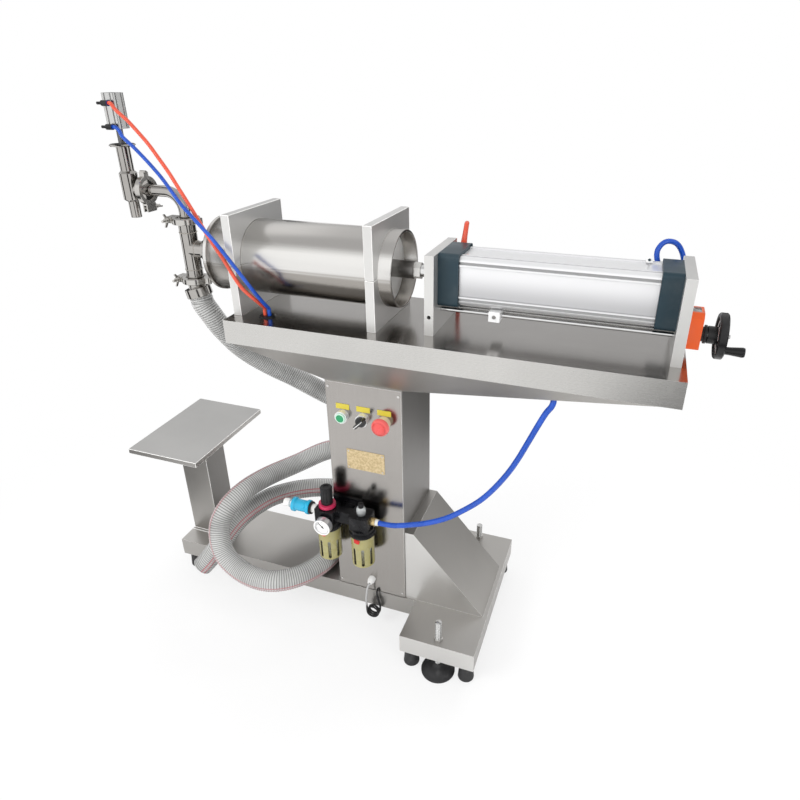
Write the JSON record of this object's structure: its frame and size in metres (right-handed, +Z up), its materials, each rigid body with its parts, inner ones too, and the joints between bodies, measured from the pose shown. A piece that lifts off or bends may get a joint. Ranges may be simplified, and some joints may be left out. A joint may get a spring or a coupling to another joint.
{
  "type": "piston filling machine",
  "caption": "Floor-standing horizontal piston filler: pneumatic cylinder, steel barrel, check valves, shut-off nozzle, bottle stand and ribbed suction hose.",
  "frame": {"origin": "on the floor, below the middle of the machine's overall length and depth", "axes": "+X along the machine from the nozzle to the handwheel, +Y to the back, +Z up"},
  "size_m": [1.356, 0.454, 1.235],
  "materials": {
    "brushed_sheet": "brushed",
    "panel_sheet": "brushed",
    "turned_steel": "satin",
    "polished_steel": "polished",
    "dark_steel": "satin",
    "anodised_aluminium": "satin",
    "slate_paint": "satin",
    "black_rubber": "matte",
    "white_plastic": "satin",
    "black_plastic": "satin",
    "orange_plastic": "gloss",
    "olive_plastic": "satin",
    "clear_plastic": "clear",
    "cyan_plastic": "gloss",
    "green_plastic": "gloss",
    "red_plastic": "gloss",
    "plate_metal": "satin",
    "clear_hose": "translucent, ribbed",
    "orange_tube": "gloss",
    "blue_tube": "gloss",
    "black_lead": "satin"
  },
  "bodies": {
    "machine": {"base_frame": "brushed_sheet", "rubber_feet": "black_rubber", "column": "brushed_sheet", "front_panel": "panel_sheet", "deck": "brushed_sheet", "bottle_stand": "brushed_sheet", "barrel_clamps": "anodised_aluminium", "barrel_tube": "turned_steel", "front_cap": "turned_steel", "cylinder_plates": "anodised_aluminium", "air_cylinder_tube": "anodised_aluminium", "air_cylinder_caps": "slate_paint", "indicator_housing": "orange_plastic", "guide_rod": "polished_steel", "valve_body": "polished_steel", "elbow_pipe": "polished_steel", "nozzle_body": "polished_steel", "nozzle_cylinder": "anodised_aluminium", "tri_clamps": "polished_steel", "clamp_gaskets": "white_plastic", "hose_adapter": "polished_steel", "air_unit_bodies": "black_plastic", "bowl_guards": "olive_plastic", "sight_glasses": "clear_plastic", "pressure_gauge": "white_plastic", "slide_valve": "white_plastic", "switch_housings": "polished_steel", "label_plates": "plate_metal", "fittings": "black_plastic", "fasteners": "polished_steel", "suction_hose": "clear_hose", "nozzle_tube_orange": "orange_tube", "nozzle_tube_blue": "blue_tube", "supply_tube": "blue_tube", "cylinder_tube_orange": "orange_tube", "cylinder_tube_blue": "blue_tube", "mains_lead": "black_lead"},
    "piston": {"material_piston": "white_plastic", "piston_seals": "black_rubber", "piston_rod": "polished_steel", "rod_coupling": "dark_steel"},
    "handwheel": {"handwheel": "black_plastic", "lead_screw": "polished_steel"},
    "crank_grip": {"crank_grip": "black_plastic"},
    "sensor_bracket": {"sensor_bracket": "white_plastic"},
    "nozzle_stem": {"nozzle_stem": "polished_steel"},
    "inlet_ball": {"inlet_ball": "white_plastic"},
    "outlet_ball": {"outlet_ball": "white_plastic"},
    "wing_nut_nozzle": {"wing_nut_nozzle": "polished_steel"},
    "wing_nut_upper": {"wing_nut_upper": "polished_steel"},
    "wing_nut_lower": {"wing_nut_lower": "polished_steel"},
    "leveling_foot_front": {"leveling_foot_front": "black_rubber"},
    "leveling_foot_rear": {"leveling_foot_rear": "black_rubber"},
    "regulator_knob": {"regulator_knob": "black_plastic"},
    "oil_screw": {"oil_screw": "black_plastic"},
    "gauge_needle": {"gauge_needle": "black_plastic"},
    "slide_sleeve": {"slide_sleeve": "cyan_plastic"},
    "green_button": {"green_button": "green_plastic"},
    "selector_knob": {"selector_knob": "black_plastic"},
    "estop_head": {"estop_head": "red_plastic"}
  },
  "joints": [
    {"name": "piston_stroke", "type": "slide", "parent": "machine", "child": "piston", "axis": [-1, 0, 0], "range_m": [0, 0.3]},
    {"name": "handwheel_turn", "type": "hinge", "parent": "machine", "child": "handwheel", "pos_m": [0.64, -0.008, 0.844], "axis": [1, 0, 0], "range_deg": [-10440, 3240]},
    {"name": "sensor_travel", "type": "slide", "parent": "machine", "child": "sensor_bracket", "axis": [1, 0, 0], "range_m": [-0.091, 0.291]},
    {"name": "crank_spin", "type": "hinge", "parent": "handwheel", "child": "crank_grip", "pos_m": [0.66, -0.008, 0.817], "axis": [1, 0, 0], "continuous": true},
    {"name": "nozzle_lift", "type": "slide", "parent": "machine", "child": "nozzle_stem", "axis": [0, 0, 1], "range_m": [0, 0.012]},
    {"name": "inlet_ball_lift", "type": "slide", "parent": "machine", "child": "inlet_ball", "axis": [0, 0, 1], "range_m": [0, 0.01]},
    {"name": "outlet_ball_lift", "type": "slide", "parent": "machine", "child": "outlet_ball", "axis": [0, 0, 1], "range_m": [0, 0.01]},
    {"name": "wing_nut_upper_turn", "type": "hinge", "parent": "machine", "child": "wing_nut_upper", "pos_m": [-0.539, -0.02, 0.97375], "axis": [0, -1, 0], "continuous": true},
    {"name": "wing_nut_lower_turn", "type": "hinge", "parent": "machine", "child": "wing_nut_lower", "pos_m": [-0.539, -0.02, 0.83625], "axis": [0, -1, 0], "continuous": true},
    {"name": "wing_nut_nozzle_turn", "type": "hinge", "parent": "machine", "child": "wing_nut_nozzle", "pos_m": [-0.595, 0.02, 0.996], "axis": [0, 1, 0], "continuous": true},
    {"name": "leveling_foot_front_turn", "type": "hinge", "parent": "machine", "child": "leveling_foot_front", "pos_m": [0.1665, -0.187, 0.05], "axis": [0, 0, 1], "continuous": true},
    {"name": "leveling_foot_rear_turn", "type": "hinge", "parent": "machine", "child": "leveling_foot_rear", "pos_m": [0.1665, 0.187, 0.05], "axis": [0, 0, 1], "continuous": true},
    {"name": "regulator_knob_turn", "type": "hinge", "parent": "machine", "child": "regulator_knob", "pos_m": [-0.125, -0.132, 0.39], "axis": [0, 0, 1], "range_deg": [-720, 720]},
    {"name": "oil_screw_turn", "type": "hinge", "parent": "machine", "child": "oil_screw", "pos_m": [-0.039, -0.132, 0.39], "axis": [0, 0, 1], "range_deg": [0, 720]},
    {"name": "gauge_needle_swing", "type": "hinge", "parent": "machine", "child": "gauge_needle", "pos_m": [-0.119, -0.174, 0.338], "axis": [0, 1, 0], "range_deg": [-90, 180]},
    {"name": "slide_sleeve_shift", "type": "slide", "parent": "machine", "child": "slide_sleeve", "axis": [-1, 0, 0], "range_m": [0, 0.007]},
    {"name": "green_button_press", "type": "slide", "parent": "machine", "child": "green_button", "axis": [0, 1, 0], "range_m": [0, 0.004], "stiffness_N_per_m": 400},
    {"name": "selector_turn", "type": "hinge", "parent": "machine", "child": "selector_knob", "pos_m": [-0.039, -0.105, 0.595], "axis": [0, 1, 0], "range_deg": [-90, 0]},
    {"name": "estop_press", "type": "slide", "parent": "machine", "child": "estop_head", "axis": [0, 1, 0], "range_m": [0, 0.005]}
  ],
  "couplings": [
    {"joint": "sensor_travel", "follows": "handwheel_turn", "m_per_rad": -0.0015915}
  ]
}
